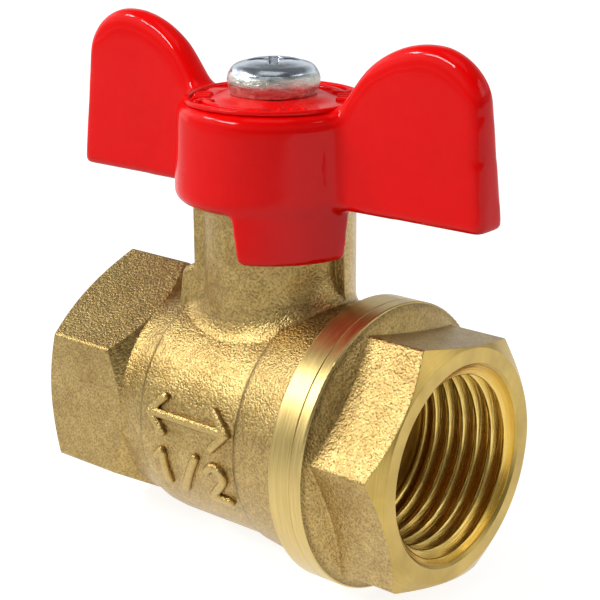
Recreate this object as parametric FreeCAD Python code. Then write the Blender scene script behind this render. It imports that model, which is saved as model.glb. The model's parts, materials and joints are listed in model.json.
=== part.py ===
import FreeCAD, Part
import math
import os

# A two-piece brass ball valve for G 1/2 pipe with a butterfly handle, shown open.
# Frame: X along the pipe from the inlet to the outlet, Z up along the stem's axis, and the
# origin on the pipe's axis where the inlet port's full-size wall begins. Millimetres.

V = FreeCAD.Vector

# ---------------------------------------------------------------- driving dimensions
# Ports: G 1/2 pipe thread, bored to the thread's major diameter
port_r = 20.955 / 2
port_length = 11.1              # full-size wall of each port
port_lead_in = 0.3              # 45 degree chamfer at each mouth
port_end_cone = 0.6             # drill cone at the bottom of each port
bore_r = 7.5                    # waterway through the two webs
face_to_face = 48.0
stem_x = 23.0                   # stem's axis from the origin

# Hex ends
hex_flats = 25.0
hex_face_r = 12.35              # round land that the corner chamfer leaves on a port's face
hex_chamfer = 30.0              # chamfer angle from the face, degrees
hex_edge_round = 0.4            # along the six corners, from the forging dies
inlet_hex_corner_x = 9.4        # where the corners of the inlet hex end
inlet_hex_back = 47.0           # slope of the inlet hex's back cone, degrees
outlet_hex_turn = 20.0          # the cap stops where its thread bottoms out, degrees

# Drum, collar and rim of the body, as radii from the pipe's axis
groove_x = 12.2
groove_r = 12.5
groove_round = 1.5
drum_x = 15.0
drum_r = 13.35
drum_shoulder_r = 13.23         # the drum swells a little past its shoulder
drum_shoulder_length = 1.4
drum_shoulder_round = 0.35
drum_step = 0.45                # step up from the groove's slope to the drum
drum_step_run = 0.45
drum_round = 2.0
collar_start_run = 0.5          # slope up from the drum to the collar
collar_round = 0.2
collar_x = 29.1
collar_step = 0.35
collar_length = 5.5
collar_taper = 0.65
rim_r = 15.4
rim_slope = 0.75                # slope from the collar up to the rim
rim_width = 2.65
rim_chamfer = 0.08

# End cap outside the body
flange_width = 1.35
shoulder_rise = 1.15            # how far the cap's shoulder bulges past the flange
flange_round = 0.2
shoulder_step = 0.7             # fall from the flange's edge to the shoulder
shoulder_round = 0.6

# Ball and seats
ball_bore_r = 6.9
ball_wall = 3.6
seat_gap = 0.08                 # running gap between ball and seats
seat_inner_margin = 0.3         # seat's own hole beyond the ball's waterway
seat_wall = 2.5
seat_cover = 3.9                # seat's front and back, in from the ball's own ends
seat_back_inset = 0.65
seat_pocket_gap = 0.1
ball_chamber_gap = 0.7
cap_thread_margin = 1.0         # cap's thread outside the ball's chamber
cap_thread_gap = 0.05
cap_thread_chamfer = 0.4

# Neck: a round column, wider round its back, with a heel towards the inlet
neck_r = 7.6                    # round front of the neck
neck_back_r = 8.7               # the wider back half, and the two shoulders it ends in
neck_shoulder_turn = 7.0        # outlet-side shoulder, degrees back from the pipe
neck_top = 26.1
column_foot = 4.0               # forging radii where the neck meets the drum
back_foot = 2.0
foot_bury = 0.05                # how deep the feet's own bar lies under the drum
heel_width = 11.2               # its front is flush with the neck's inlet-side shoulder
heel_reach = 8.9                # end of the heel, from the stem's axis
heel_top = 16.5
heel_fall = 0.6                 # how far the heel's top falls towards its end
heel_slope = 0.5                # how far the heel's end leans out at its foot
heel_round = 1.3
heel_side_round = 0.9

# Stem
stem_r = 4.0
stem_bore_gap = 0.05
tongue_width = 4.8
tongue_gap = 0.1
tongue_depth = 2.4              # how far the tongue reaches into the ball
shoulder_r = 5.4
shoulder_thickness = 1.3
shoulder_gap = 0.2
washer_thickness = 0.8
o_ring_wire_r = 0.7
o_ring_r = 3.32                 # centre line of an O-ring
o_ring_groove_width = 1.7
o_ring_groove_bottom_gap = 0.02
o_ring_rise = 1.9               # lower groove's centre above the thrust washer
o_ring_pitch = 2.7
square_flats = 5.6
square_corner_r = 3.75
square_top_below_hub = 0.9
tapped_depth = 10.0

# Packing and gland
gland_r = 6.1
gland_gap = 0.05
stuffing_box_floor = 19.2
packing_height = 2.8
gland_nut_rise = 0.3            # gland nut's top above the neck's top
gland_slot_width = 1.6
gland_slot_depth = 1.1

# Quarter-turn stops: a forged sector on the neck and a cast rib inside the hub
turn = 90.0
stop_inner_r = 6.45
stop_height = 2.2
stop_middle = 90.0              # middle of the neck's sector, degrees from the outlet
stop_arc = 90.0
stop_gap = 0.75                 # play left at each stop, degrees
stop_clearance = 0.35
stop_rib_sink = 0.3             # how far the rib's own solid runs into the hub

# Handle: the hub's skirt hangs round the neck's top, and the wings stand on the hub
hub_neck_gap = 0.3             # between the neck and the hub's cavity
hub_wall = 1.15
hub_draft = 0.5                 # how much wider the hub is at its bottom
hub_lap = 1.85                  # how far the hub hangs below the neck's top
hub_ceiling_gap = 0.9           # above the neck's stop
hub_roof = 5.6
hub_bottom_round = 1.2
hub_top_round = 1.0
boss_margin = 0.7               # boss beyond the screw's head
boss_height = 0.6
square_gap = 0.05
tab_drop = 4.9                  # how far the tab hangs below the hub
tab_start = -75.0               # the tab's edges, degrees from the outlet
tab_end = 0.0
tab_inset = 0.25
tab_taper = 8.5                 # how far its two sides lean in, in degrees
tab_corner = 0.7

wing_reach = 27.7               # wing's tip from the stem's axis, at the bottom
wing_tip_lean = 0.9             # how far the tip leans in towards the top
wing_bottom_gap = 0.4           # wing's bottom above the hub's
wing_bottom_rise = 0.35
wing_peak_inset = 7.0           # crown's peak, back from the wing's tip
wing_peak_rise = 7.5            # crown's peak above the hub's top
wing_valley_gap = 0.8           # valley's lowest point, out from the hub
wing_valley_rise = 2.2
wing_valley_run = 1.6           # from the valley to where the crown's arc starts
wing_crown_spread = 1.46        # crown's inner arc, its radius over the run of the arc
wing_tip_spread = 1.085         # crown's outer arc, likewise
wing_top_sink = 1.6             # how far the wing's top runs down inside the hub
wing_top_inset = 1.6
wing_thickness_top = 3.0
wing_thickness_bottom = 4.3
wing_edge_round = 0.9           # edges of the crown and the tip
wing_foot_round = 0.5           # edges of the wing's bottom
wing_root_round = 1.6           # cast radius where a wing meets the hub's side

# Screw: M5 pan head with a cross recess
screw_r = 2.5
screw_thread_gap = 0.05
screw_length = 9.5
head_r = 5.0
head_height = 3.5
head_foot_r = 4.5               # the head's side bulges from here to its full radius
head_side = 1.5                 # height of the widest place
head_side_round = 1.6
head_crown_r = 4.35             # the crown starts here and flattens over the middle
head_crown_fall = 0.6
head_crown_round = 1.4
head_top_round = 5.0
recess_width = 1.15
recess_span = 5.6
recess_depth = 2.0
recess_core_r = 1.5
recess_flare = 1.4              # the wings' ends lean out by this in twice the depth
recess_turn = -49.0             # one wing of the recess, degrees from the outlet

# ---------------------------------------------------------------- derived places
ball_r = ball_bore_r + ball_wall
seat_front = ball_r - seat_cover
seat_back = ball_r - seat_back_inset
chamber_r = ball_r + ball_chamber_gap
cap_thread_r = chamber_r + cap_thread_margin
seat_inner_r = ball_bore_r + seat_inner_margin
seat_outer_r = seat_inner_r + seat_wall
inlet_face_x = -port_lead_in
outlet_face_x = inlet_face_x + face_to_face
hex_corner_r = hex_flats / math.sqrt(3)
chamfer_depth = (hex_corner_r - hex_face_r) * math.tan(math.radians(hex_chamfer))
collar_r = drum_r + collar_step
rim_left_x = collar_x + collar_length
rim_right_x = rim_left_x + rim_slope + rim_width
flange_right_x = rim_right_x + flange_width
shoulder_bottom = ball_r + 2 * shoulder_gap
shoulder_top = shoulder_bottom + shoulder_thickness
washer_top = shoulder_top + washer_thickness
gland_bottom = stuffing_box_floor + packing_height
gland_top = neck_top + gland_nut_rise
hub_cavity_r = neck_back_r + hub_neck_gap
hub_top_r = hub_cavity_r + hub_wall
hub_bottom_r = hub_top_r + hub_draft
hub_bottom = neck_top - hub_lap
hub_ceiling = neck_top + stop_height + hub_ceiling_gap
hub_top = hub_ceiling + hub_roof
tab_outer_r = hub_bottom_r - tab_inset
tab_bottom = hub_bottom - tab_drop
boss_r = head_r + boss_margin
screw_seat = hub_top + boss_height
wing_bottom = hub_bottom + wing_bottom_gap
wing_peak_x = wing_reach - wing_peak_inset
wing_peak = hub_top + wing_peak_rise
wing_valley_x = hub_top_r + wing_valley_gap
wing_valley = hub_top + wing_valley_rise
square_top = hub_top - square_top_below_hub
stem_bore_r = stem_r + stem_bore_gap
tapped_bottom = square_top - tapped_depth

X_AXIS = V(1, 0, 0)
Z_AXIS = V(0, 0, 1)
ORIGIN = V(0, 0, 0)
STEM = V(stem_x, 0, 0)


# ---------------------------------------------------------------- drawing helpers
def face_from_corners(corners, place):
    """Flat face inside straight sides; each corner (u, v, radius) is rounded by its radius."""
    points = [V(u, v, 0) for u, v, _ in corners]
    entries, middles, exits = [], [], []
    for i, (_, _, radius) in enumerate(corners):
        here = points[i]
        if radius == 0:
            entries.append(here)
            middles.append(None)
            exits.append(here)
            continue
        back = (points[i - 1] - here).normalize()
        ahead = (points[(i + 1) % len(points)] - here).normalize()
        half = back.getAngle(ahead) / 2
        run = radius / math.tan(half)
        bisector = (back + ahead).normalize()
        entries.append(here + back * run)
        middles.append(here + bisector * (radius / math.sin(half) - radius))
        exits.append(here + ahead * run)
    edges = []
    for i in range(len(points)):
        if middles[i] is not None:
            arc = Part.Arc(place(entries[i]), place(middles[i]), place(exits[i]))
            edges.append(arc.toShape())
        start, end = exits[i], entries[(i + 1) % len(points)]
        if (end - start).Length > 1e-6:
            edges.append(Part.makeLine(place(start), place(end)))
    return Part.Face(Part.Wire(Part.sortEdges(edges)[0]))


def turned_on_pipe(corners):
    """Solid of revolution about the pipe's axis from corners (x, r, radius)."""
    face = face_from_corners(corners, lambda p: V(p.x, 0, p.y))
    return face.revolve(ORIGIN, X_AXIS, 360)


def turned_on_stem(corners):
    """Solid of revolution about the stem's axis from corners (r, z, radius)."""
    face = face_from_corners(corners, lambda p: V(stem_x + p.x, 0, p.y))
    return face.revolve(STEM, Z_AXIS, 360)


def pipe_cylinder(radius, x0, x1):
    """Cylinder along the pipe's axis."""
    return Part.makeCylinder(radius, x1 - x0, V(x0, 0, 0), X_AXIS)


def stem_cylinder(radius, z0, z1):
    """Cylinder along the stem's axis."""
    return Part.makeCylinder(radius, z1 - z0, V(stem_x, 0, z0), Z_AXIS)


def stem_box(x_size, y_size, z0, z1, turned=0.0):
    """Box centred on the stem's axis, turned about it."""
    box = Part.makeBox(x_size, y_size, z1 - z0, V(stem_x - x_size / 2, -y_size / 2, z0))
    box.rotate(STEM, Z_AXIS, turned)
    return box


def stem_sector(inner_r, outer_r, z0, z1, start, end):
    """Part of a ring about the stem's axis between two angles in degrees."""
    corners = [V(stem_x + inner_r, 0, z0), V(stem_x + outer_r, 0, z0),
               V(stem_x + outer_r, 0, z1), V(stem_x + inner_r, 0, z1)]
    section = Part.Face(Part.makePolygon(corners + corners[:1]))
    sector = section.revolve(STEM, Z_AXIS, end - start)
    sector.rotate(STEM, Z_AXIS, start)
    return sector


def hex_bar(x0, x1, first_corner):
    """Hexagonal bar along the pipe, with one rounded corner at the given angle from +Y."""
    corners = []
    for i in range(7):
        angle = math.radians(first_corner + 60 * i)
        corners.append(V(x0, hex_corner_r * math.cos(angle), hex_corner_r * math.sin(angle)))
    bar = Part.Face(Part.makePolygon(corners)).extrude(V(x1 - x0, 0, 0))
    along = [edge for edge in bar.Edges if abs(edge.Length - (x1 - x0)) < 0.001
             and abs(edge.Vertexes[0].X - edge.Vertexes[1].X) > 0.001]
    return bar.makeFillet(hex_edge_round, along)


def port_cutter(mouth_x, inward):
    """Port bore with its lead-in chamfer and the cone that the drill leaves at its end."""
    start = mouth_x + inward * port_lead_in
    end = start + inward * port_length
    return turned_on_pipe([
        (mouth_x, 0, 0),
        (mouth_x, port_r + port_lead_in, 0),
        (start, port_r, 0),
        (end, port_r, 0),
        (end + inward * port_end_cone, bore_r, 0),
        (end + inward * port_end_cone, 0, 0),
    ])


def seat_place(side):
    """x of a seat's front and back; side is -1 at the inlet and 1 at the outlet."""
    return stem_x + side * seat_front, stem_x + side * seat_back


def save(shape, node):
    """Write one piece as a STEP file named after its node."""
    shape = shape.removeSplitter()
    assert shape.isValid() and len(shape.Solids) == 1, node
    shape.Solids[0].exportStep(os.path.join("parts", node + ".step"))


# ---------------------------------------------------------------- the pieces
def make_valve_body():
    """Forged body: inlet hex, drum, collar, turned rim and the neck with its heel and stop."""
    back_run = (hex_corner_r - groove_r) / math.tan(math.radians(inlet_hex_back))
    inlet_hex = hex_bar(inlet_face_x, groove_x, 90).common(turned_on_pipe([
        (inlet_face_x, 0, 0),
        (inlet_face_x, hex_face_r, 0),
        (inlet_face_x + chamfer_depth, hex_corner_r, 0),
        (inlet_hex_corner_x, hex_corner_r, 0),
        (inlet_hex_corner_x + back_run, groove_r, 0),
        (inlet_hex_corner_x + back_run, 0, 0),
    ]))
    barrel = turned_on_pipe([
        (inlet_hex_corner_x, 0, 0),
        (inlet_hex_corner_x, groove_r, 0),
        (groove_x, groove_r, groove_round),
        (drum_x - drum_step_run, drum_shoulder_r - drum_step, drum_shoulder_round),
        (drum_x, drum_shoulder_r, drum_shoulder_round),
        (drum_x + drum_shoulder_length, drum_r, drum_round),
        (collar_x - collar_start_run, drum_r, collar_round),
        (collar_x, collar_r, collar_round),
        (rim_left_x, collar_r + collar_taper, rim_chamfer),
        (rim_left_x + rim_slope, rim_r, rim_chamfer),
        (rim_right_x - rim_chamfer, rim_r, 0),
        (rim_right_x, rim_r - rim_chamfer, 0),
        (rim_right_x, 0, 0),
    ])
    heel = make_heel()
    body = barrel.fuse([inlet_hex, heel] + make_neck()).removeSplitter()
    body = body.fuse(stem_sector(
        stop_inner_r, neck_r, neck_top, neck_top + stop_height,
        stop_middle - stop_arc / 2, stop_middle + stop_arc / 2))

    seat_front_x, seat_back_x = seat_place(-1)
    thread_start_x = seat_place(1)[0]
    hollows = [
        port_cutter(inlet_face_x, 1),
        pipe_cylinder(bore_r, 0, stem_x),
        pipe_cylinder(seat_outer_r + seat_pocket_gap, seat_back_x, stem_x),
        pipe_cylinder(chamber_r, seat_front_x, rim_right_x),
        pipe_cylinder(cap_thread_r + cap_thread_gap, thread_start_x, rim_right_x),
        stem_cylinder(shoulder_r + shoulder_gap, 0, washer_top),
        stem_cylinder(stem_bore_r, 0, neck_top),
        stem_cylinder(gland_r + gland_gap, stuffing_box_floor, neck_top + stop_height),
    ]
    for hollow in hollows:
        body = body.cut(hollow)
    return body


def make_heel():
    """Low heel of the neck on the inlet's side, rounded along its top and its sloping end."""
    end_x = stem_x - heel_reach
    foot_x = end_x - heel_slope
    at_neck_x = stem_x - neck_r
    outline = face_from_corners([
        (foot_x, groove_r / 2, 0),
        (foot_x, groove_r, 0),
        (end_x, heel_top - heel_fall, heel_round),
        (at_neck_x, heel_top, 0),
        (stem_x, heel_top, 0),
        (stem_x, groove_r / 2, 0),
    ], lambda p: V(p.x, -heel_width / 2, p.y))
    heel = outline.extrude(V(0, heel_width, 0))
    ridge = []
    for edge in heel.Edges:
        ends = [vertex.Point for vertex in edge.Vertexes]
        along = abs(ends[0].y - ends[-1].y) < 0.001
        high = all(p.z > groove_r - 0.001 for p in ends)
        if along and high and min(p.x for p in ends) < at_neck_x - 0.001:
            ridge.append(edge)
    return heel.makeFillet(heel_side_round, ridge)


def make_neck():
    """Round front and wider back half of the neck, each with a forging radius at its foot."""
    turn_back = math.radians(neck_shoulder_turn)
    clear = 2 * neck_back_r
    plan = [V(stem_x, 0, 0),
            V(stem_x + clear * math.cos(turn_back), clear * math.sin(turn_back), 0),
            V(stem_x + clear, clear, 0),
            V(stem_x - clear, clear, 0),
            V(stem_x - clear, -heel_width / 2, 0),
            V(stem_x, -heel_width / 2, 0)]
    behind = Part.Face(Part.makePolygon(plan + plan[:1])).extrude(V(0, 0, neck_top))
    back = forged_foot(neck_back_r, back_foot).common(behind)
    return [forged_foot(neck_r, column_foot), back]


def forged_foot(post_r, radius):
    """Round post standing on the drum, with a radius where they meet; the rest of the drum's
    own bar is cut away, and so is the radius where it would run out over the groove."""
    buried_r = drum_r - foot_bury
    post = stem_cylinder(post_r, 0, neck_top)
    foot_r = post_r + 1.2 * radius
    bar = pipe_cylinder(buried_r, stem_x - foot_r, stem_x + foot_r)
    joined = bar.fuse(post).removeSplitter()
    foot = []
    for edge in joined.Edges:
        middle = edge.valueAt((edge.FirstParameter + edge.LastParameter) / 2)
        ends = [vertex.Point for vertex in edge.Vertexes]
        on_bar = all(abs(math.hypot(p.y, p.z) - buried_r) < 0.01 for p in [middle] + ends)
        inside = all(abs(p.x - stem_x) < post_r + 0.01 for p in [middle] + ends)
        if on_bar and inside and middle.z > 0:
            foot.append(edge)
    around = stem_cylinder(foot_r, 0, neck_top).common(pipe_cylinder(neck_top, drum_x, rim_left_x))
    return joined.makeFillet(radius, foot).common(around).fuse(post)


def make_end_cap():
    """Forged end cap: male end with the seat pocket, flange, domed shoulder and outlet hex."""
    seat_front_x, seat_back_x = seat_place(1)
    dome_x = flange_right_x + shoulder_rise
    outlet_hex = hex_bar(rim_right_x, outlet_face_x, 90 + outlet_hex_turn)
    outlet_hex = outlet_hex.common(turned_on_pipe([
        (rim_right_x, 0, 0),
        (rim_right_x, hex_corner_r, 0),
        (outlet_face_x - chamfer_depth, hex_corner_r, 0),
        (outlet_face_x, hex_face_r, 0),
        (outlet_face_x, 0, 0),
    ]))
    turned = turned_on_pipe([
        (seat_front_x, 0, 0),
        (seat_front_x, cap_thread_r - cap_thread_chamfer, 0),
        (seat_front_x + cap_thread_chamfer, cap_thread_r, 0),
        (rim_right_x, cap_thread_r, 0),
        (rim_right_x, rim_r - rim_chamfer, 0),
        (rim_right_x + rim_chamfer, rim_r, 0),
        (flange_right_x, rim_r, flange_round),
        (flange_right_x + flange_round, rim_r - shoulder_step, shoulder_round),
        (dome_x, groove_r, 0),
        (dome_x, 0, 0),
    ])
    cap = turned.fuse(outlet_hex).removeSplitter()
    for hollow in (
        port_cutter(outlet_face_x, -1),
        pipe_cylinder(bore_r, seat_front_x, outlet_face_x),
        pipe_cylinder(seat_outer_r + seat_pocket_gap, seat_front_x, seat_back_x),
    ):
        cap = cap.cut(hollow)
    return cap


def make_seat_ring(side):
    """Soft seat ring with a spherical face against the ball."""
    front_x, back_x = seat_place(side)
    ring = pipe_cylinder(seat_outer_r, min(front_x, back_x), max(front_x, back_x))
    ring = ring.cut(pipe_cylinder(seat_inner_r, 0, outlet_face_x))
    return ring.cut(Part.makeSphere(ball_r + seat_gap, STEM))


def make_ball():
    """Ball with its waterway along the pipe and the driving slot across the top."""
    ball = Part.makeSphere(ball_r, STEM)
    ball = ball.cut(pipe_cylinder(ball_bore_r, stem_x - ball_r, stem_x + ball_r))
    slot_floor = shoulder_bottom - tongue_depth - tongue_gap
    slot = stem_box(tongue_width + 2 * tongue_gap, 2 * ball_r, slot_floor, ball_r)
    return ball.cut(slot)


def make_stem():
    """Stem: tongue, blow-out-proof shoulder, two O-ring grooves, square and tapped end."""
    stem = stem_cylinder(shoulder_r, shoulder_bottom, shoulder_top)
    stem = stem.fuse(stem_cylinder(stem_r, shoulder_top, hub_ceiling))
    tongue = stem_box(tongue_width, 2 * stem_r, shoulder_bottom - tongue_depth, shoulder_bottom)
    stem = stem.fuse(tongue.common(stem_cylinder(stem_r, 0, shoulder_bottom)))
    square = stem_box(square_flats, square_flats, hub_ceiling, square_top)
    square = square.common(stem_cylinder(square_corner_r, hub_ceiling, square_top))
    stem = stem.fuse(square)
    groove_r_bottom = o_ring_r - o_ring_wire_r - o_ring_groove_bottom_gap
    for centre in o_ring_centres():
        low = centre - o_ring_groove_width / 2
        groove = stem_cylinder(shoulder_r, low, low + o_ring_groove_width)
        groove = groove.cut(stem_cylinder(groove_r_bottom, low, low + o_ring_groove_width))
        stem = stem.cut(groove)
    return stem.cut(stem_cylinder(screw_r, tapped_bottom, square_top))


def o_ring_centres():
    """Heights of the two O-rings."""
    lower = washer_top + o_ring_rise
    return lower, lower + o_ring_pitch


def make_o_ring(centre):
    """O-ring in a groove of the stem."""
    return Part.makeTorus(o_ring_r, o_ring_wire_r, V(stem_x, 0, centre), Z_AXIS)


def make_stem_washer():
    """Thrust washer between the stem's shoulder and the body."""
    washer = stem_cylinder(shoulder_r, shoulder_top, washer_top)
    return washer.cut(stem_cylinder(stem_bore_r, shoulder_top, washer_top))


def make_stem_packing():
    """Packing ring at the bottom of the stuffing box."""
    packing = stem_cylinder(gland_r, stuffing_box_floor, gland_bottom)
    return packing.cut(stem_cylinder(stem_bore_r, stuffing_box_floor, gland_bottom))


def make_gland_nut():
    """Slotted gland nut that presses on the packing."""
    nut = stem_cylinder(gland_r, gland_bottom, gland_top)
    nut = nut.cut(stem_cylinder(stem_bore_r, gland_bottom, gland_top))
    for turned in (0, 90):
        slot = stem_box(gland_slot_width, 4 * gland_r, gland_top - gland_slot_depth,
                        gland_top, turned)
        nut = nut.cut(slot)
    return nut


def make_wing(side):
    """One wing: an upright plate with a domed crown and rounded edges, thicker at the bottom."""
    def at(reach, z):
        return V(stem_x + side * reach, 0, z)

    def on_arc(radius, angle):
        return at(wing_peak_x + radius * math.sin(angle),
                  wing_peak - radius + radius * math.cos(angle))

    inner = hub_cavity_r / 2
    crown_run = wing_peak_x - wing_valley_x - wing_valley_run
    crown_r = crown_run * wing_crown_spread
    to_valley = -math.asin(crown_run / crown_r)
    tip_run = wing_reach - wing_tip_lean - wing_peak_x
    tip_r = tip_run * wing_tip_spread
    to_tip = math.asin(tip_run / tip_r)
    top_in_hub = hub_top - wing_top_sink
    hub_corner = at(hub_top_r - wing_top_inset, top_in_hub)
    valley_start, tip_start = on_arc(crown_r, to_valley), on_arc(tip_r, to_tip)
    foot = at(wing_reach, wing_bottom + wing_bottom_rise)
    edges = [
        Part.makeLine(at(inner, wing_bottom), foot),
        Part.makeLine(foot, tip_start),
        Part.Arc(tip_start, on_arc(tip_r, to_tip / 2), on_arc(tip_r, 0)).toShape(),
        Part.Arc(on_arc(crown_r, 0), on_arc(crown_r, to_valley / 2), valley_start).toShape(),
        Part.Arc(valley_start, at(wing_valley_x, wing_valley), hub_corner).toShape(),
        Part.makeLine(hub_corner, at(inner, top_in_hub)),
        Part.makeLine(at(inner, top_in_hub), at(inner, wing_bottom)),
    ]
    outline = Part.Face(Part.Wire(Part.sortEdges(edges)[0]))
    plate = outline.extrude(V(0, wing_thickness_bottom, 0))
    plate.translate(V(0, -wing_thickness_bottom / 2, 0))
    section = [V(stem_x, -wing_thickness_bottom / 2, wing_bottom),
               V(stem_x, wing_thickness_bottom / 2, wing_bottom),
               V(stem_x, wing_thickness_top / 2, wing_peak),
               V(stem_x, -wing_thickness_top / 2, wing_peak)]
    wedge = Part.Face(Part.makePolygon(section + section[:1]))
    plate = plate.common(wedge.extrude(V(side * wing_reach, 0, 0)))
    plate = plate.makeFillet(wing_edge_round, wing_edges(plate, False))
    return plate.makeFillet(wing_foot_round, wing_edges(plate, True))


def wing_edges(plate, low):
    """Edges outside the hub: those of the wing's bottom, or its two sides' other edges."""
    found = []
    for edge in plate.Edges:
        ends = [vertex.Point for vertex in edge.Vertexes]
        in_hub = all(abs(p.x - stem_x) < hub_top_r for p in ends)
        across = abs(ends[0].y - ends[-1].y) > wing_thickness_top / 2
        at_foot = all(p.z < wing_bottom + wing_bottom_rise + 0.001 for p in ends)
        if not in_hub and at_foot == low and (low or not across):
            found.append(edge)
    return found


def wing_roots(handle):
    """The four upright edges where the wings' faces meet the hub's side."""
    roots = []
    for edge in handle.Edges:
        middle = edge.valueAt((edge.FirstParameter + edge.LastParameter) / 2)
        reach = math.hypot(middle.x - stem_x, middle.y)
        on_hub = hub_top_r - hub_top_round < reach < hub_bottom_r + hub_top_round
        on_wing = wing_thickness_top / 4 < abs(middle.y) < wing_thickness_bottom
        if on_hub and on_wing and edge.Length > (hub_top - hub_bottom) / 2:
            roots.append(edge)
    return roots


def make_tab():
    """Skirt that hangs from a part of the hub's rim. Its sides lean in towards its foot, and
    its two lower corners are rounded."""
    tab = stem_sector(hub_cavity_r, tab_outer_r, tab_bottom, hub_bottom + hub_bottom_round,
                      tab_start, tab_end)
    top = V(stem_x, 0, hub_bottom)
    for angle, side in ((tab_start, -1), (tab_end, 1)):
        waste = Part.makeBox(2 * tab_outer_r, tab_outer_r, 3 * tab_drop,
                             V(stem_x, min(0, side * tab_outer_r), hub_bottom - 3 * tab_drop))
        waste.rotate(top, X_AXIS, -side * tab_taper)
        waste.rotate(top, Z_AXIS, angle)
        tab = tab.cut(waste)
    corners = []
    for edge in tab.Edges:
        low = all(abs(vertex.Z - tab_bottom) < 0.001 for vertex in edge.Vertexes)
        if low and edge.Length < 2 * (tab_outer_r - hub_cavity_r):
            corners.append(edge)
    return tab.makeFillet(tab_corner, corners)


def make_handle():
    """Die-cast butterfly handle: hub, two wings, hanging tab, square hole and stop rib."""
    hub = turned_on_stem([
        (0, hub_bottom, 0),
        (hub_bottom_r, hub_bottom, hub_bottom_round),
        (hub_top_r, hub_top, hub_top_round),
        (boss_r, hub_top, 0),
        (boss_r, screw_seat, 0),
        (0, screw_seat, 0),
    ])
    handle = hub.fuse([make_wing(-1), make_wing(1)]).removeSplitter()
    handle = handle.makeFillet(wing_root_round, wing_roots(handle))
    handle = handle.fuse(make_tab()).removeSplitter()
    handle = handle.cut(stem_cylinder(hub_cavity_r, tab_bottom, hub_ceiling))
    rib_half = (360 - stop_arc - turn) / 2 - stop_gap
    rib_middle = stop_middle + 180 + turn / 2
    rib = stem_sector(stop_inner_r, hub_cavity_r + stop_rib_sink, neck_top + stop_clearance,
                      hub_ceiling + stop_rib_sink, rib_middle - rib_half, rib_middle + rib_half)
    handle = handle.fuse(rib)
    side = square_flats + 2 * square_gap
    return handle.cut(stem_box(side, side, hub_ceiling, screw_seat))


def make_handle_screw():
    """Pan head screw with a cross recess."""
    screw = turned_on_stem([
        (0, screw_seat, 0),
        (head_foot_r, screw_seat, 0),
        (head_r, screw_seat + head_side, head_side_round),
        (head_crown_r, screw_seat + head_height - head_crown_fall, head_crown_round),
        (head_crown_r / 2, screw_seat + head_height, head_top_round),
        (0, screw_seat + head_height, 0),
    ])
    thread_r = screw_r - screw_thread_gap
    screw = screw.fuse(stem_cylinder(thread_r, screw_seat - screw_length, screw_seat))
    top = screw_seat + head_height
    recess = Part.makeCone(recess_core_r / 2, recess_core_r, 2 * recess_depth,
                           V(stem_x, 0, top - recess_depth), Z_AXIS)
    for turned in (recess_turn, recess_turn + 90):
        wings = stem_box(recess_span, recess_width, top - recess_depth, 2 * top, turned)
        cone = Part.makeCone(recess_core_r, recess_span / 2 + recess_flare, 2 * recess_depth,
                             V(stem_x, 0, top - recess_depth), Z_AXIS)
        recess = recess.fuse(wings.common(cone))
    return screw.cut(recess)


# ---------------------------------------------------------------- build
os.makedirs("parts", exist_ok=True)
lower_o_ring, upper_o_ring = o_ring_centres()
save(make_valve_body(), "valve_body")
save(make_end_cap(), "end_cap")
save(make_seat_ring(-1), "seat_ring_inlet")
save(make_seat_ring(1), "seat_ring_outlet")
save(make_ball(), "ball")
save(make_stem(), "stem")
save(make_stem_washer(), "stem_washer")
save(make_o_ring(lower_o_ring), "stem_o_ring_lower")
save(make_o_ring(upper_o_ring), "stem_o_ring_upper")
save(make_stem_packing(), "stem_packing")
save(make_gland_nut(), "gland_nut")
save(make_handle(), "handle")
save(make_handle_screw(), "handle_screw")
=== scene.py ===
import json
import math

import bmesh
import bpy
import numpy as np
from mathutils import Matrix, Vector


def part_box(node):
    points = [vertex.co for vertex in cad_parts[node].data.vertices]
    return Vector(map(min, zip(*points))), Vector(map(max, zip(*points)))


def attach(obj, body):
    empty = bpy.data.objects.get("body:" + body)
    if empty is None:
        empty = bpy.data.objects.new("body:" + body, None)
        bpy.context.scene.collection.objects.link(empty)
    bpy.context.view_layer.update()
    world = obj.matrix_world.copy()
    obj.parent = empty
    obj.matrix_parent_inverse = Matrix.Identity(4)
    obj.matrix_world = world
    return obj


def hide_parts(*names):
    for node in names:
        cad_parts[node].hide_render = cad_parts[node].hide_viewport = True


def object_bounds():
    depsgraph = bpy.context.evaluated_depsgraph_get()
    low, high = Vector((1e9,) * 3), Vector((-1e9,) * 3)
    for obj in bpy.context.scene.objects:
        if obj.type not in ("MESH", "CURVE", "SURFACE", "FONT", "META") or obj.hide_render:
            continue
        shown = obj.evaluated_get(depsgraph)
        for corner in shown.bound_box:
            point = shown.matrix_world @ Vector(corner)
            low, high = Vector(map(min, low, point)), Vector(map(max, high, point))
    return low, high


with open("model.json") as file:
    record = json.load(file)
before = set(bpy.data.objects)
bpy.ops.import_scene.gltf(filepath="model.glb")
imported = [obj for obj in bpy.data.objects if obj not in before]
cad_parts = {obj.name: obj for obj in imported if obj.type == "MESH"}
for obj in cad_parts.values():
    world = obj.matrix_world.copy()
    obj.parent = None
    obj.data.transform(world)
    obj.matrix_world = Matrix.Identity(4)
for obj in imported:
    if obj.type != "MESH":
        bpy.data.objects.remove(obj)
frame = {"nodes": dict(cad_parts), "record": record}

# A brass ball valve for half-inch pipe with a red butterfly handle. Lengths are in metres. x runs
# along the pipe from the inlet to the outlet, z up the stem, and the size mark is on the -y side.
MM = 0.001
CAD_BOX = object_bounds()
NODES = frame["nodes"]
MOUNTS = {mount["name"]: mount for mount in frame["record"]["mounts"]}

body_low, body_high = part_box("valve_body")
cap_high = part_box("end_cap")[1]
handle_low, handle_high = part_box("handle")
screw_low, screw_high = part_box("handle_screw")
stem_low, stem_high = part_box("stem")

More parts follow.
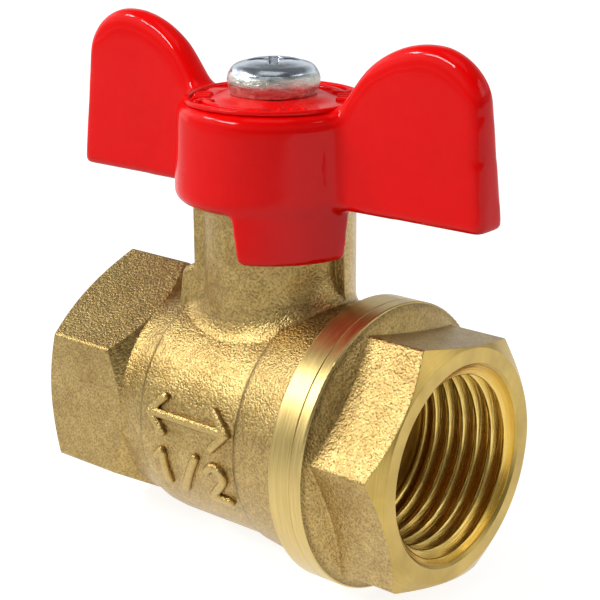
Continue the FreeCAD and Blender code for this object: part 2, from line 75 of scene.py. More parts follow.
STEM_X = (stem_low.x + stem_high.x) / 2
INLET_FACE_X = body_low.x
OUTLET_FACE_X = cap_high.x
RIM_R = -body_low.z
RIM_RIGHT_X = body_high.x
DRUM_R = 13.35 * MM

SCREW_LENGTH = 13.0 * MM        # over all, with its head
SCREW_HEAD = 3.5 * MM
HUB_BOSS = 0.6 * MM             # pad under the screw's head, above the hub's top
HUB_TOP = screw_low.z + SCREW_LENGTH - SCREW_HEAD - HUB_BOSS

PORT_R = MOUNTS["inlet_port"]["dims"]["r_mm"] * MM
PORT_LENGTH = MOUNTS["inlet_port"]["dims"]["length_mm"] * MM
INLET_WALL_X = MOUNTS["inlet_port"]["pos_m"][0]
OUTLET_WALL_X = MOUNTS["outlet_port"]["pos_m"][0]


# ------------------------------------------------------------------ surfaces
def grid(points, loop_u=False, loop_v=False):
    """Points (u, v, xyz) as one row, and the quads between neighbours on their grid; a looped
    direction joins its last points to its first."""
    nu, nv = points.shape[:2]
    u = np.arange(nu if loop_u else nu - 1)
    v = np.arange(nv if loop_v else nv - 1)
    uu, vv = np.meshgrid(u, v, indexing="ij")
    u1, v1 = (uu + 1) % nu, (vv + 1) % nv
    quads = np.stack([uu * nv + vv, u1 * nv + vv, u1 * nv + v1, uu * nv + v1], axis=-1)
    return points.reshape(-1, 3), quads.reshape(-1, 4)


def mesh_of(name, grids):
    """One mesh of several grids, with their points and quads one after the other."""
    starts = np.cumsum([0] + [len(points) for points, _ in grids])
    points = np.concatenate([points for points, _ in grids])
    quads = np.concatenate([quads + start for (_, quads), start in zip(grids, starts)])
    mesh = bpy.data.meshes.new(name)
    mesh.from_pydata(points.tolist(), [], quads.tolist())
    mesh.update()
    return mesh


def merge_doubles(mesh, distance):
    """Points of a mesh that fall together are made one."""
    shell = bmesh.new()
    shell.from_mesh(mesh)
    bmesh.ops.remove_doubles(shell, verts=shell.verts, dist=distance)
    shell.to_mesh(mesh)
    shell.free()
    mesh.update()


def in_scene(name, data):
    """New object of a mesh, a lamp or a camera."""
    made = bpy.data.objects.new(name, data)
    bpy.context.scene.collection.objects.link(made)
    return made


def place_piece(name, mesh, material, body):
    """Object of a mesh, with its finish, riding on a body of the valve."""
    piece = in_scene(name, mesh)
    mesh.materials.append(material)
    mesh.polygons.foreach_set("use_smooth", np.full(len(mesh.polygons), True))
    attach(piece, body)
    return piece


# ------------------------------------------------------------------ pipe threads
THREAD_PITCH = 25.4 * MM / 14   # a half-inch pipe thread has 14 turns to the inch
THREAD_CREST_R = 9.32 * MM
THREAD_DEPTH = 1.09 * MM
THREAD_START = 0.3              # where its first turn begins, in turns
CREST_FLAT = 0.16               # flat share of a pitch at the crest
ROOT_ROUNDING = 0.38            # how much of the flank follows a sine
FADE_END, FADE_RUN = 0.98, 0.05  # the depth's run-out, in shares of the port's length
MOUTH_SLOPE = 1.4
SLEEVE_GAP = 0.015 * MM         # between the sleeve and the port's wall
SLEEVE_WALL = 0.02 * MM         # least wall of the sleeve
MOUTH_GAP = 0.03 * MM


def port_thread(name, wall_x, inward):
    """Sleeve with a G 1/2 thread inside.

    With a the angle round the pipe and d the depth in from the port's wall, the inner radius is
    the crest's plus the thread's depth times w(d / pitch - 0.3 - a / turn). w goes from 0 on the
    flat crest up a 55 degree flank to 1 at the rounded root and back. The depth fades out at the
    end of the port, and a cone opens the mouth. The outer radius is just inside the port's
    wall."""
    outer_r = PORT_R - SLEEVE_GAP
    around, along = 216, 150
    angle = np.linspace(0, 2 * np.pi, around, endpoint=False)[:, None]
    d = np.linspace(0, PORT_LENGTH, along)[None, :]
    phase = (d / THREAD_PITCH - THREAD_START - angle / (2 * np.pi)) % 1.0
    rise = 1 - np.abs(2 * phase - 1)
    flank = np.clip((rise - CREST_FLAT) / (1 - CREST_FLAT), 0, 1)
    wave = (1 - ROOT_ROUNDING) * flank + ROOT_ROUNDING * np.sin(flank * np.pi / 2)
    fade = np.clip((FADE_END * PORT_LENGTH - d) / (FADE_RUN * PORT_LENGTH), 0, 1)
    inner = THREAD_CREST_R + THREAD_DEPTH * wave * fade
    cone = PORT_R - MOUTH_GAP - MOUTH_SLOPE * d
    inner = np.minimum(np.maximum(inner, cone), outer_r - SLEEVE_WALL)
    d_both = np.concatenate([np.broadcast_to(d, inner.shape), [[PORT_LENGTH, 0]] * around], 1)
    r_both = np.concatenate([inner, np.full((around, 2), outer_r)], 1)
    x = wall_x + inward * d_both
    points = np.stack([x, r_both * np.cos(angle), r_both * np.sin(angle)], axis=-1)
    if inward > 0:
        points = points[:, ::-1]
    return mesh_of(name, [grid(points, loop_u=True, loop_v=True)])


# ------------------------------------------------------------------ raised marks
BEAD_CROWN = 0.45               # power of the sine: less makes a flatter crown
BEAD_MERGE = 0.1e-6             # points closer than this at a bead's end are one


def bead(path, width, height, sink, steps=13, closed=False):
    """Raised bead along a flat path (s, t). Across it, with a going from 0 to 180 degrees, it is
    cos(a) half widths to the side and sin(a) to the power 0.45 heights up, which is a flat crown
    with steep sides. Each end is half that profile turned about the path's last point. Returns
    points (u, v, [s, t, lift])."""
    path = np.asarray(path, float)
    ahead = np.gradient(path, axis=0)
    if closed:
        ahead = np.roll(path, -1, 0) - np.roll(path, 1, 0)
    ahead /= np.linalg.norm(ahead, axis=1)[:, None]
    side = np.stack([-ahead[:, 1], ahead[:, 0]], 1)
    turn = np.linspace(0, np.pi, steps)
    across = np.cos(turn) * width / 2
    lift = np.sin(turn).clip(0, 1) ** BEAD_CROWN * (height + sink) - sink
    rings = path[:, None, :] + side[:, None, :] * across[None, :, None]
    rings = np.concatenate([rings, np.broadcast_to(lift, rings.shape[:2])[..., None]], 2)
    if closed:
        return rings
    caps = []
    swing = np.linspace(0, np.pi / 2, 6)[1:, None, None]
    for end, sign in ((0, -1), (-1, 1)):
        flat = path[end] + side[end] * across[None, :, None] * np.cos(swing)
        flat = flat + sign * ahead[end] * np.abs(across)[None, :, None] * np.sin(swing)
        caps.append(np.concatenate([flat, np.broadcast_to(lift, flat.shape[:2])[..., None]], 2))
    return np.concatenate([caps[0][::-1], rings, caps[1]], 0)


def smooth_path(corners, count=28):
    """Points along a polyline, evenly spaced. Twice, each inner point becomes half of itself and
    a quarter of each neighbour, which eases the corners."""
    corners = np.asarray(corners, float)
    run = np.concatenate([[0], np.cumsum(np.linalg.norm(np.diff(corners, axis=0), axis=1))])
    at = np.linspace(0, run[-1], count)
    path = np.stack([np.interp(at, run, corners[:, i]) for i in range(2)], 1)
    for _ in range(2):
        path[1:-1] = 0.25 * path[:-2] + 0.5 * path[1:-1] + 0.25 * path[2:]
    return path


def on_drum(points, centre_x, centre_angle):
    """Flat (s, t, lift) laid round the drum: s runs along the pipe, t up round the drum, and
    lift stands out of it. The angle is above the horizontal on the front side."""
    radius = DRUM_R + points[..., 2]
    angle = centre_angle + points[..., 1] / DRUM_R
    return np.stack([centre_x + points[..., 0], -radius * np.cos(angle),
                     radius * np.sin(angle)], axis=-1)


def size_mark():
    """The pipe's size, 1/2, in raised figures on the drum, with a double arrow over it for a
    valve that passes water either way. Each stroke is a bead laid round the drum."""
    width, height, sink = 1.05 * MM, 0.55 * MM, 0.12 * MM
    figures_at = (22.4 * MM, math.radians(-16))
    arrow_at = (22.2 * MM, math.radians(10))
    # strokes in millimetres
    half = 2.0
    bow_r, bow_rise = 1.15, 1.05
    bow = np.radians(np.linspace(160, -40, 16))
    two = [(bow_r * math.cos(a), 0.95 + bow_rise * math.sin(a)) for a in bow] + [(-bow_r, -half)]
    figures = [
        (-4.0, [(-0.9, 1.2), (0.0, half), (0.0, -half)]),
        (-0.4, [(1.3, half + 0.3), (-1.3, -half - 0.3)]),
        (3.6, two),
        (3.6, [(-bow_r, -half), (1.35, -half)]),
    ]
    reach, barb = 5.5, 1.9
    arrow = [[(-reach, 0), (reach, 0)],
             [(-reach + barb, barb), (-reach, 0), (-reach + barb, -barb)],
             [(reach - barb, barb), (reach, 0), (reach - barb, -barb)]]
    beads = [on_drum(bead(smooth_path(stroke) * MM + [shift * MM, 0], width, height, sink),
                     *figures_at) for shift, stroke in figures]
    beads += [on_drum(bead(smooth_path(stroke) * MM, width, height, sink), *arrow_at)
              for stroke in arrow]
    mesh = mesh_of("size_mark", [grid(points[::-1], loop_v=True) for points in beads])
    merge_doubles(mesh, BEAD_MERGE)
    return mesh


def on_hub(points):
    """Flat (s, t, lift) laid on the hub's top, with s and t measured from the stem's axis."""
    return np.stack([STEM_X + points[..., 0], points[..., 1], HUB_TOP + points[..., 2]], -1)


def turn_mark():
    """Raised curved double arrows on the hub's top, one on each side of the wings, for a quarter
    turn either way, with three short ticks past each end of an arrow and a lip round the rim.
    Each is a bead along an arc, a barb or a short line out from the stem's axis."""
    rim_r, middle_r, barb, tick = 9.15 * MM, 7.55 * MM, 0.85 * MM, 0.65 * MM
    width, height, sink = 0.62 * MM, 0.36 * MM, 0.1 * MM
    half_span = 36              # degrees to each end of an arrow
    tick_steps = (10, 19, 28)   # degrees past its end
    strokes = []
    for middle in (-90, 90):
        span = np.radians(np.linspace(middle - half_span, middle + half_span, 40))
        strokes.append(np.stack([np.cos(span), np.sin(span)], 1) * middle_r)
        for end, sign in ((span[0], 1), (span[-1], -1)):
            out = np.array([math.cos(end), math.sin(end)])
            along = np.array([-math.sin(end), math.cos(end)]) * sign
            tip = out * middle_r
            strokes.append(smooth_path([tip + (along + out) * barb, tip,
                                        tip + (along - out) * barb], 14))
            for step in tick_steps:
                turn = end - sign * math.radians(step)
                out = np.array([math.cos(turn), math.sin(turn)])
                strokes.append(smooth_path([out * (middle_r - tick), out * (middle_r + tick)], 6))
    grids = [grid(on_hub(bead(path, width, height, sink))[::-1], loop_v=True)
             for path in strokes]
    around = np.linspace(0, 2 * np.pi, 120, endpoint=False)
    rim = np.stack([np.cos(around), np.sin(around)], 1) * rim_r
    lip = on_hub(bead(rim, width, height, sink, closed=True))[::-1]
    mesh = mesh_of("turn_mark", grids + [grid(lip, loop_u=True, loop_v=True)])
    merge_doubles(mesh, BEAD_MERGE)
    return mesh


# ------------------------------------------------------------------ painted handle
HUB_R = 10.5 * MM
CAST_MERGE = 0.001 * MM
SKIN_PITCH = 0.27 * MM
SOFTENING_ROUNDS = 76
FULL_PULL, LEAST_PULL = 0.5, 0.12       # how far a point is drawn, and the tab's share of that
PULL_HEIGHT, PULL_BASE, PULL_SLOPE = 0.35, 0.15, 1.2
WING_DROP, WING_END_DROP = 0.35, 0.45   # millimetres at the hub, and as much more at the end


def even_skin(name, cast):
    """Copy of a CAD mesh with its doubles merged and a fine even net of faces over it."""
    mesh = cast.copy()
    merge_doubles(mesh, CAST_MERGE)
    blank = in_scene(name + "_blank", mesh)
    skin = blank.modifiers.new("skin", "REMESH")
    skin.mode = "VOXEL"
    skin.voxel_size = SKIN_PITCH
    graph = bpy.context.evaluated_depsgraph_get()
    even = bpy.data.meshes.new_from_object(blank.evaluated_get(graph))
    bpy.data.objects.remove(blank)
    bpy.data.meshes.remove(mesh)
    even.name = name
    even.materials.clear()
    return even


def painted_handle():
    """The handle with the soft edges that thick paint gives it. A fine even skin is laid over
    the handle's own surface, and each of its points is drawn again and again part of the way to
    the mean of its neighbours, further on the wings' crowns and the hub's rim than on the lower
    edges and the tab. The wings are then drawn out to their full height and reach again, and the
    inlet-side wing hangs a little lower, 0.35 mm at the hub and 0.8 mm at its end."""
    even = even_skin("painted_handle", NODES["handle"].data)
    count = len(even.vertices)
    points = np.empty(count * 3)
    even.vertices.foreach_get("co", points)
    points = points.reshape(-1, 3)
    edges = np.empty(len(even.edges) * 2, int)
    even.edges.foreach_get("vertices", edges)
    here, there = np.concatenate([edges.reshape(-1, 2), edges.reshape(-1, 2)[:, ::-1]]).T
    neighbours = np.bincount(here, minlength=count)

    height = (points[:, 2] - handle_low.z) / (handle_high.z - handle_low.z)
    pull = FULL_PULL * np.clip(PULL_BASE + PULL_SLOPE * (height - PULL_HEIGHT), LEAST_PULL, 1.0)
    for _ in range(SOFTENING_ROUNDS):
        mean = np.stack([np.bincount(here, points[there, axis], count) for axis in range(3)], 1)
        points += pull[:, None] * (mean / neighbours[:, None] - points)

    over = np.clip(points[:, 2] - HUB_TOP, 0, None)
    points[:, 2] += over * ((handle_high.z - HUB_TOP) / over.max() - 1)

    out = points[:, 0] - STEM_X
    wing_low = points[np.abs(out) > HUB_R + 2 * MM, 2].min()
    low = np.clip((HUB_TOP - points[:, 2]) / (HUB_TOP - wing_low), 0, 1)
    past = np.clip((-out - HUB_R + 1 * MM) / (2 * MM), 0, 1)
    far = np.clip((-out - HUB_R) / (STEM_X - handle_low.x - HUB_R), 0, 1)
    points[:, 2] -= low * past * (WING_DROP + WING_END_DROP * far) * MM

    for side, reach in ((1, handle_high.x - STEM_X), (-1, STEM_X - handle_low.x)):
        past = np.clip(side * out - HUB_R, 0, None)
        points[:, 0] += side * past * ((reach - HUB_R) / past.max() - 1)
    even.vertices.foreach_set("co", points.ravel())
    even.update()
    return even


# ------------------------------------------------------------------ finishes
class Nodes:
    """A node tree being put together, with short ways to add its nodes."""

    def __init__(self, tree):
        self.tree = tree

    def add(self, kind, **settings):
        node = self.tree.nodes.new(kind)
        for key, value in settings.items():
            setattr(node, key, value)
        return node

    def wire(self, source, target):
        self.tree.links.new(source, target)

    def give(self, socket, value):
        """A value for a socket: a wire from another node, or a plain number."""
        if hasattr(value, "is_linked"):
            self.wire(value, socket)
        else:
            socket.default_value = value

    def math(self, operation, *values):
        node = self.add("ShaderNodeMath", operation=operation)
        for socket, value in zip(node.inputs, values):
            self.give(socket, value)
        return node.outputs[0]

    def product(self, *values):
        total = values[0]
        for value in values[1:]:
            total = self.math("MULTIPLY", total, value)
        return total

    def mixture(self, *parts):
        """Sum of (value, share) pairs."""
        total = None
        for value, share in parts:
            part = self.math("MULTIPLY", value, share)
            total = part if total is None else self.math("ADD", total, part)
        return total

    def apart(self, value, place):
        """How far a value is from a place, either way."""
        return self.math("ABSOLUTE", self.math("SUBTRACT", value, place))

    def distance(self, a, b):
        """Length of the line whose two parts are a and b."""
        return self.math("SQRT", self.math("ADD", self.math("MULTIPLY", a, a),
                                           self.math("MULTIPLY", b, b)))

    def between(self, value, low, high, to_low=0.0, to_high=1.0, eased=False):
        """Remap of a value, straight or eased, held at its two ends."""
        node = self.add("ShaderNodeMapRange",
                        interpolation_type="SMOOTHSTEP" if eased else "LINEAR")
        self.wire(value, node.inputs["Value"])
        for key, number in (("From Min", low), ("From Max", high),
                            ("To Min", to_low), ("To Max", to_high)):
            node.inputs[key].default_value = number
        return node.outputs["Result"]

    def blend(self, factor, a, b, kind="RGBA"):
        """Mix of two colours (RGBA), numbers (FLOAT) or normals (VECTOR)."""
        node = self.add("ShaderNodeMix", data_type=kind)
        for socket, value in zip([s for s in node.inputs if s.enabled], (factor, a, b)):
            self.give(socket, value)
        return [o for o in node.outputs if o.enabled][0]


class Finish(Nodes):
    """A material of one finish, on the object's own coordinates."""

    def __init__(self, name, metal=False):
        self.material = bpy.data.materials.new(name)
        self.material.use_nodes = True
        super().__init__(self.material.node_tree)
        self.inputs = self.tree.nodes["Principled BSDF"].inputs
        self.place = self.add("ShaderNodeTexCoord").outputs["Object"]
        if metal:
            self.inputs["Metallic"].default_value = 1.0

    def noise(self, scale, detail=2.0, roughness=0.5, stretch=None):
        """Noise over the object's own coordinates; stretch scales its three axes."""
        node = self.add("ShaderNodeTexNoise")
        node.inputs["Scale"].default_value = scale
        node.inputs["Detail"].default_value = detail
        node.inputs["Roughness"].default_value = roughness
        source = self.place
        if stretch is not None:
            mapping = self.add("ShaderNodeMapping")
            mapping.inputs["Scale"].default_value = stretch
            self.wire(self.place, mapping.inputs["Vector"])
            source = mapping.outputs["Vector"]
        self.wire(source, node.inputs["Vector"])
        return node.outputs["Fac"]

    def cells(self, scale):
        """Rounded dimples packed side by side: distance to the nearest of scattered points."""
        node = self.add("ShaderNodeTexVoronoi", feature="SMOOTH_F1")
        node.inputs["Scale"].default_value = scale
        node.inputs["Smoothness"].default_value = 0.6
        self.wire(self.place, node.inputs["Vector"])
        return node.outputs["Distance"]

    def colours(self, value, stops):
        """Colour ramp: stops are (position, (r, g, b))."""
        node = self.add("ShaderNodeValToRGB")
        ramp = node.color_ramp
        while len(ramp.elements) < len(stops):
            ramp.elements.new(0.5)
        for element, (position, colour) in zip(ramp.elements, stops):
            element.position = position
            element.color = (*colour, 1)
        self.wire(value, node.inputs["Fac"])
        return node.outputs["Color"]

    def scaled(self, colour, factor):
        """A colour made darker or lighter."""
        node = self.add("ShaderNodeVectorMath", operation="SCALE")
        self.wire(colour, node.inputs[0])
        self.wire(factor, node.inputs["Scale"])
        return node.outputs[0]

    def parts(self):
        """The object's x, y and z."""
        node = self.add("ShaderNodeSeparateXYZ")
        self.wire(self.place, node.inputs[0])
        return node.outputs

    def pipe_radius(self):
        """Distance from the pipe's axis."""
        _, y, z = self.parts()
        return self.distance(y, z)

    def bump(self, height, distance, strength=1.0, under=None):
        node = self.add("ShaderNodeBump")
        node.inputs["Distance"].default_value = distance
        node.inputs["Strength"].default_value = strength
        self.wire(height, node.inputs["Height"])
        if under is not None:
            self.wire(under, node.inputs["Normal"])
        return node.outputs["Normal"]

    def rounded(self, radius):
        """Normal that rounds off the edges by a small radius."""
        node = self.add("ShaderNodeBevel", samples=6)
        node.inputs["Radius"].default_value = radius
        return node.outputs["Normal"]

    def done(self, colour, roughness, normal=None, coat=None):
        """The finished material. A coat is its (weight, roughness), over the same normal."""
        self.wire(colour, self.inputs["Base Color"])
        self.wire(roughness, self.inputs["Roughness"])
        if normal is not None:
            self.wire(normal, self.inputs["Normal"])
        if coat is not None:
            self.inputs["Coat Weight"].default_value = coat[0]
            self.inputs["Coat Roughness"].default_value = coat[1]
            self.wire(normal, self.inputs["Coat Normal"])
        return self.material


BRASS_LIGHT = (0.56, 0.40, 0.148)
BRASS_MID = (0.47, 0.325, 0.112)
BRASS_DEEP = (0.385, 0.252, 0.080)
BRASS_CROWN_WORN_AND_LIT = (0.60, 0.435, 0.165)
TURNED_FACE_SHADES = [(0.3, (0.50, 0.34, 0.080)), (0.7, (0.62, 0.44, 0.122))]
# Lighter copy of the turned colours for the rim and flange: a painted highlight.
TURNED_RIM_HIGHLIGHT_SHADES = [(0.3, (0.56, 0.41, 0.14)), (0.7, (0.74, 0.56, 0.215))]

RIM_WIDTH = 2.75 * MM           # turned rim of the body, along the pipe
FLANGE_WIDTH = 1.4 * MM         # turned flange of the end cap
EDGE_MARGIN = 0.1 * MM
TURNED_DEPTH = 1.35 * MM        # how far in from the rim's radius the turning reaches
FACE_LAND_R = 12.35 * MM        # round land that the corners' chamfer leaves on a port's face
FACE_CHAMFER = math.radians(30)
FACE_MARGIN = 0.03 * MM
PORT_MOUTH_R = 11.6 * MM
NECK_BACK_R = 8.7 * MM
NECK_BACK_MARGIN = 0.05 * MM
NECK_FLAT_Y = -5.6 * MM
NECK_FLAT_FROM = -5.0 * MM      # from the stem's axis
NECK_FLAT_MARGIN = 0.03 * MM
NECK_TRIMMED_Z = 11.5 * MM      # the trimmed faces start above this
# Painted shade: a dark line along each of the drum's two creases is full within the first of its
# two widths and gone at the second.
CREASES_X = (14.95 * MM, 29.1 * MM)
CREASE_R = DRUM_R + 0.6 * MM
CREASE_WIDTHS, CREASE_SHADE = (0.08 * MM, 0.38 * MM), 0.66
# Painted shade on the flange's back face: full within the first of its two widths, gone at the
# second.
FLANGE_FACE_X = RIM_RIGHT_X + 1.35 * MM
FLANGE_WIDTHS, FLANGE_SHADE = (0.06 * MM, 0.30 * MM), 0.62
GRAIN_DEPTH = 0.132 * MM
FORGED_EDGE_R, TURNED_EDGE_R = 0.3 * MM, 0.08 * MM


def blasted_brass(name, turned_from, turned_to, face_x, outward):
    """Shot-blasted forging with fine grain, and turned metal on the rim or flange between two
    places along the pipe, on the port's face with its chamfer, and inside the port. The neck's
    wide back and the flats at its shoulders are trimmed smooth. Painted shade darkens the creases
    at the drum's two ends and the flange's back face, and the rim or flange takes a lighter copy
    of the turned colours as a painted highlight."""
    f = Finish(name, metal=True)
    grain = f.noise(3600, 2.0, 0.6)
    pits = f.cells(3900)
    waves = f.noise(1100, 1.0, 0.5)
    patches = f.noise(240, 3.0, 0.6)
    lines = f.noise(900, 2.0, 0.6, stretch=(12, 0.25, 0.25))
    x, y, z = f.parts()
    radius = f.pipe_radius()

    on_rim = f.product(f.math("GREATER_THAN", x, turned_from), f.math("LESS_THAN", x, turned_to),
                       f.math("GREATER_THAN", radius, RIM_R - TURNED_DEPTH))
    past_land = f.math("MAXIMUM", f.math("SUBTRACT", radius, FACE_LAND_R), 0.0)
    slope = f.math("MULTIPLY", past_land, math.tan(FACE_CHAMFER))
    level = f.math("MULTIPLY", f.math("SUBTRACT", x, face_x), outward)
    on_face = f.math("GREATER_THAN", f.math("ADD", level, slope), -FACE_MARGIN)
    in_port = f.math("LESS_THAN", radius, PORT_MOUTH_R)
    turned = f.math("MAXIMUM", f.math("MAXIMUM", on_rim, on_face), in_port)

    from_stem = f.math("SUBTRACT", x, STEM_X)
    reach = f.distance(from_stem, y)
    on_back = f.math("LESS_THAN", f.apart(reach, NECK_BACK_R), NECK_BACK_MARGIN)
    on_flat = f.product(f.math("LESS_THAN", f.apart(y, NECK_FLAT_Y), NECK_FLAT_MARGIN),
                        f.math("LESS_THAN", from_stem, NECK_FLAT_FROM))
    trimmed = f.product(f.math("MAXIMUM", on_back, on_flat),
                        f.math("GREATER_THAN", z, NECK_TRIMMED_Z))

    mottle = f.mixture((patches, 0.65), (waves, 0.35))
    forged = f.colours(mottle, [(0.32, BRASS_DEEP), (0.50, BRASS_MID), (0.68, BRASS_LIGHT)])
    speck_and_shade = f.between(f.mixture((grain, 0.6), (pits, 0.4)), 0.34, 0.60, 0.68, 1.22)
    # Painted shade: darker lines along the creases at the drum's two ends.
    near = [f.between(f.apart(x, place), *CREASE_WIDTHS, 1.0, 0.0) for place in CREASES_X]
    painted_crease_shade = f.product(f.math("MAXIMUM", *near), f.math("LESS_THAN", radius, CREASE_R))
    # Painted shade on the flange's back face.
    painted_flange_shade = f.between(f.apart(x, FLANGE_FACE_X), *FLANGE_WIDTHS, FLANGE_SHADE, 1.0)
    # The grain's speckle, times the painted shade at the creases and on the flange's back face.
    speck_and_shade = f.product(speck_and_shade, f.between(painted_crease_shade, 0, 1, 1.0, CREASE_SHADE), painted_flange_shade)
    forged = f.scaled(forged, speck_and_shade)

    tarnish = f.between(patches, 0.35, 0.65, 0.86, 1.06)
    polished = f.scaled(f.colours(lines, TURNED_FACE_SHADES), tarnish)
    # Painted highlight: the rim or flange takes the lighter copy of the turned colours.
    polished = f.blend(on_rim, polished, f.colours(lines, TURNED_RIM_HIGHLIGHT_SHADES))

    forged_rough = f.blend(trimmed, f.between(pits, 0.3, 0.7, 0.34, 0.48),
                           f.between(pits, 0.3, 0.7, 0.34, 0.40), "FLOAT")
    rough = f.blend(turned, forged_rough, f.between(lines, 0.3, 0.7, 0.28, 0.40), "FLOAT")

    relief = f.product(f.mixture((grain, 0.55), (pits, 0.30), (waves, 0.15)),
                       f.between(trimmed, 0, 1, 1.0, 0.12))
    height = f.blend(turned, relief, f.math("MULTIPLY", lines, 0.10), "FLOAT")
    edges = f.blend(turned, f.rounded(FORGED_EDGE_R), f.rounded(TURNED_EDGE_R), "VECTOR")
    return f.done(f.blend(turned, forged, polished), rough,
                  f.bump(height, GRAIN_DEPTH, under=edges), coat=(0.2, 0.2))


def mark_brass():
    """Raised figures of the forging, lighter on their crowns, partly from rubbing by tumbling and
    partly as a painted highlight.
    """
    f = Finish("mark_brass", metal=True)
    grain = f.noise(3000, 2.0, 0.6)
    # The crowns are lighter: partly wear, partly a painted highlight.
    crown = f.between(f.pipe_radius(), DRUM_R + 0.15 * MM, DRUM_R + 0.55 * MM)
    shade = f.math("ADD", crown, f.math("MULTIPLY", f.math("SUBTRACT", grain, 0.5), 1.6))
    return f.done(f.colours(shade, [(0.0, BRASS_DEEP), (0.6, BRASS_MID), (1.0, BRASS_CROWN_WORN_AND_LIT)]),
                  f.between(grain, 0.3, 0.7, 0.30, 0.42),
                  f.bump(grain, 0.16 * MM, under=f.rounded(0.2 * MM)))


def thread_brass():
    """Cut thread, lighter on the crests and darker amber down in the roots, which is painted shade.
    """
    f = Finish("thread_brass", metal=True)
    # Painted shade: the colour darkens from the crests down into the roots.
    depth = f.between(f.pipe_radius(), 9.3 * MM, 10.4 * MM)
    lines = f.noise(700, 3.0, 0.65, stretch=(11, 0.3, 0.3))
    stain = f.noise(160, 2.0, 0.5)
    uneven = f.mixture((f.math("SUBTRACT", lines, 0.5), 0.8), (f.math("SUBTRACT", stain, 0.5), 0.5))
    shades = [(0.0, (0.84, 0.62, 0.19)), (0.45, (0.72, 0.46, 0.095)), (1.0, (0.54, 0.30, 0.035))]
    return f.done(f.colours(f.math("ADD", depth, uneven), shades),
                  f.between(lines, 0.3, 0.7, 0.20, 0.32), f.bump(lines, 0.05 * MM, 0.6))


def turned_brass():
    """Plain turned brass of the stem and the gland nut."""
    f = Finish("turned_brass", metal=True)
    lines = f.noise(800, 2.0, 0.6, stretch=(0.3, 0.3, 10))
    return f.done(f.colours(lines, [(0.3, (0.70, 0.50, 0.19)), (0.7, (0.90, 0.70, 0.33))]),
                  f.between(lines, 0.3, 0.7, 0.2, 0.34), f.bump(lines, 0.02 * MM, 0.5))


def red_paint():
    """Glossy red paint, baked on, with a slightly uneven tone and a faint orange peel."""
    f = Finish("red_paint")
    patches = f.noise(140, 3.0, 0.6)
    tone = f.mixture((patches, 0.75), (f.noise(900, 2.0, 0.5), 0.25))
    shades = [(0.3, (0.88, 0.001, 0.001)), (0.5, (0.93, 0.001, 0.001)),
              (0.7, (0.97, 0.002, 0.002))]
    peel = f.mixture((f.noise(420, 1.0, 0.4), 1.0), (f.noise(1700, 1.0, 0.4), 0.12))
    f.inputs["Specular IOR Level"].default_value = 0.01
    return f.done(f.colours(tone, shades), f.between(patches, 0.3, 0.7, 0.24, 0.34),
                  f.bump(peel, 0.10 * MM, 0.35), coat=(0.42, 0.04))


def zinc_plate():
    """Bright blue-white zinc: smooth on the crown, wrinkled and duller on the head's side."""
    f = Finish("zinc_plate", metal=True)
    z = f.parts()[2]
    side = f.between(z, screw_high.z - 1.15 * MM, screw_high.z - 1.5 * MM)
    wrinkles = f.noise(950, 4.0, 0.65, stretch=(1, 1, 1.6))
    crown_shades = [(0.3, (0.60, 0.68, 0.78)), (0.7, (0.82, 0.90, 0.98))]
    side_shades = [(0.3, (0.46, 0.47, 0.41)), (0.7, (0.84, 0.85, 0.78))]
    lumps = f.product(wrinkles, f.between(side, 0, 1, 0.12, 1.0))
    return f.done(f.blend(side, f.colours(wrinkles, crown_shades),
                          f.colours(wrinkles, side_shades)),
                  f.blend(side, f.between(wrinkles, 0.3, 0.7, 0.14, 0.24),
                          f.between(wrinkles, 0.3, 0.7, 0.34, 0.50), "FLOAT"),
                  f.bump(lumps, 0.22 * MM, 0.9, under=f.rounded(0.15 * MM)))


def chromed_ball():
    """Mirror-bright chrome with a few faint wipe marks."""
    f = Finish("chromed_ball", metal=True)
    wipe = f.noise(400, 3.0, 0.6, stretch=(0.4, 2.0, 1.0))
    return f.done(f.colours(wipe, [(0.3, (0.66, 0.67, 0.69)), (0.7, (0.80, 0.81, 0.83))]),
                  f.between(wipe, 0.3, 0.7, 0.06, 0.16))


def soft_white():
    """White PTFE, slightly waxy."""
    f = Finish("soft_white")
    cloud = f.noise(500, 2.0, 0.5)
    f.inputs["Subsurface Weight"].default_value = 0.15
    f.inputs["Subsurface Scale"].default_value = 0.6 * MM
    return f.done(f.colours(cloud, [(0.3, (0.80, 0.79, 0.75)), (0.7, (0.88, 0.87, 0.84))]),
                  f.between(cloud, 0.3, 0.7, 0.38, 0.5))


def black_rubber():
    """Moulded nitrile rubber."""
    f = Finish("black_rubber")
    dust = f.noise(1500, 3.0, 0.6)
    return f.done(f.colours(dust, [(0.4, (0.015, 0.015, 0.015)), (0.8, (0.04, 0.04, 0.04))]),
                  f.between(dust, 0.3, 0.7, 0.5, 0.65))


def finish_node(node, material):
    """The finish of one CAD node."""
    slots = NODES[node].data.materials
    slots.clear()
    slots.append(material)


body_brass = blasted_brass("body_brass", RIM_RIGHT_X - RIM_WIDTH, RIM_RIGHT_X + EDGE_MARGIN,
                           INLET_FACE_X, -1)
cap_brass = blasted_brass("cap_brass", RIM_RIGHT_X - EDGE_MARGIN, RIM_RIGHT_X + FLANGE_WIDTH,
                          OUTLET_FACE_X, 1)
red, zinc, chrome = red_paint(), zinc_plate(), chromed_ball()
turned, white, rubber, cut_thread = turned_brass(), soft_white(), black_rubber(), thread_brass()
for node, finish in {
    "valve_body": body_brass, "end_cap": cap_brass, "handle": red, "handle_screw": zinc,
    "ball": chrome, "stem": turned, "gland_nut": turned, "seat_ring_inlet": white,
    "seat_ring_outlet": white, "stem_washer": white, "stem_packing": white,
    "stem_o_ring_lower": rubber, "stem_o_ring_upper": rubber,
}.items():
    finish_node(node, finish)

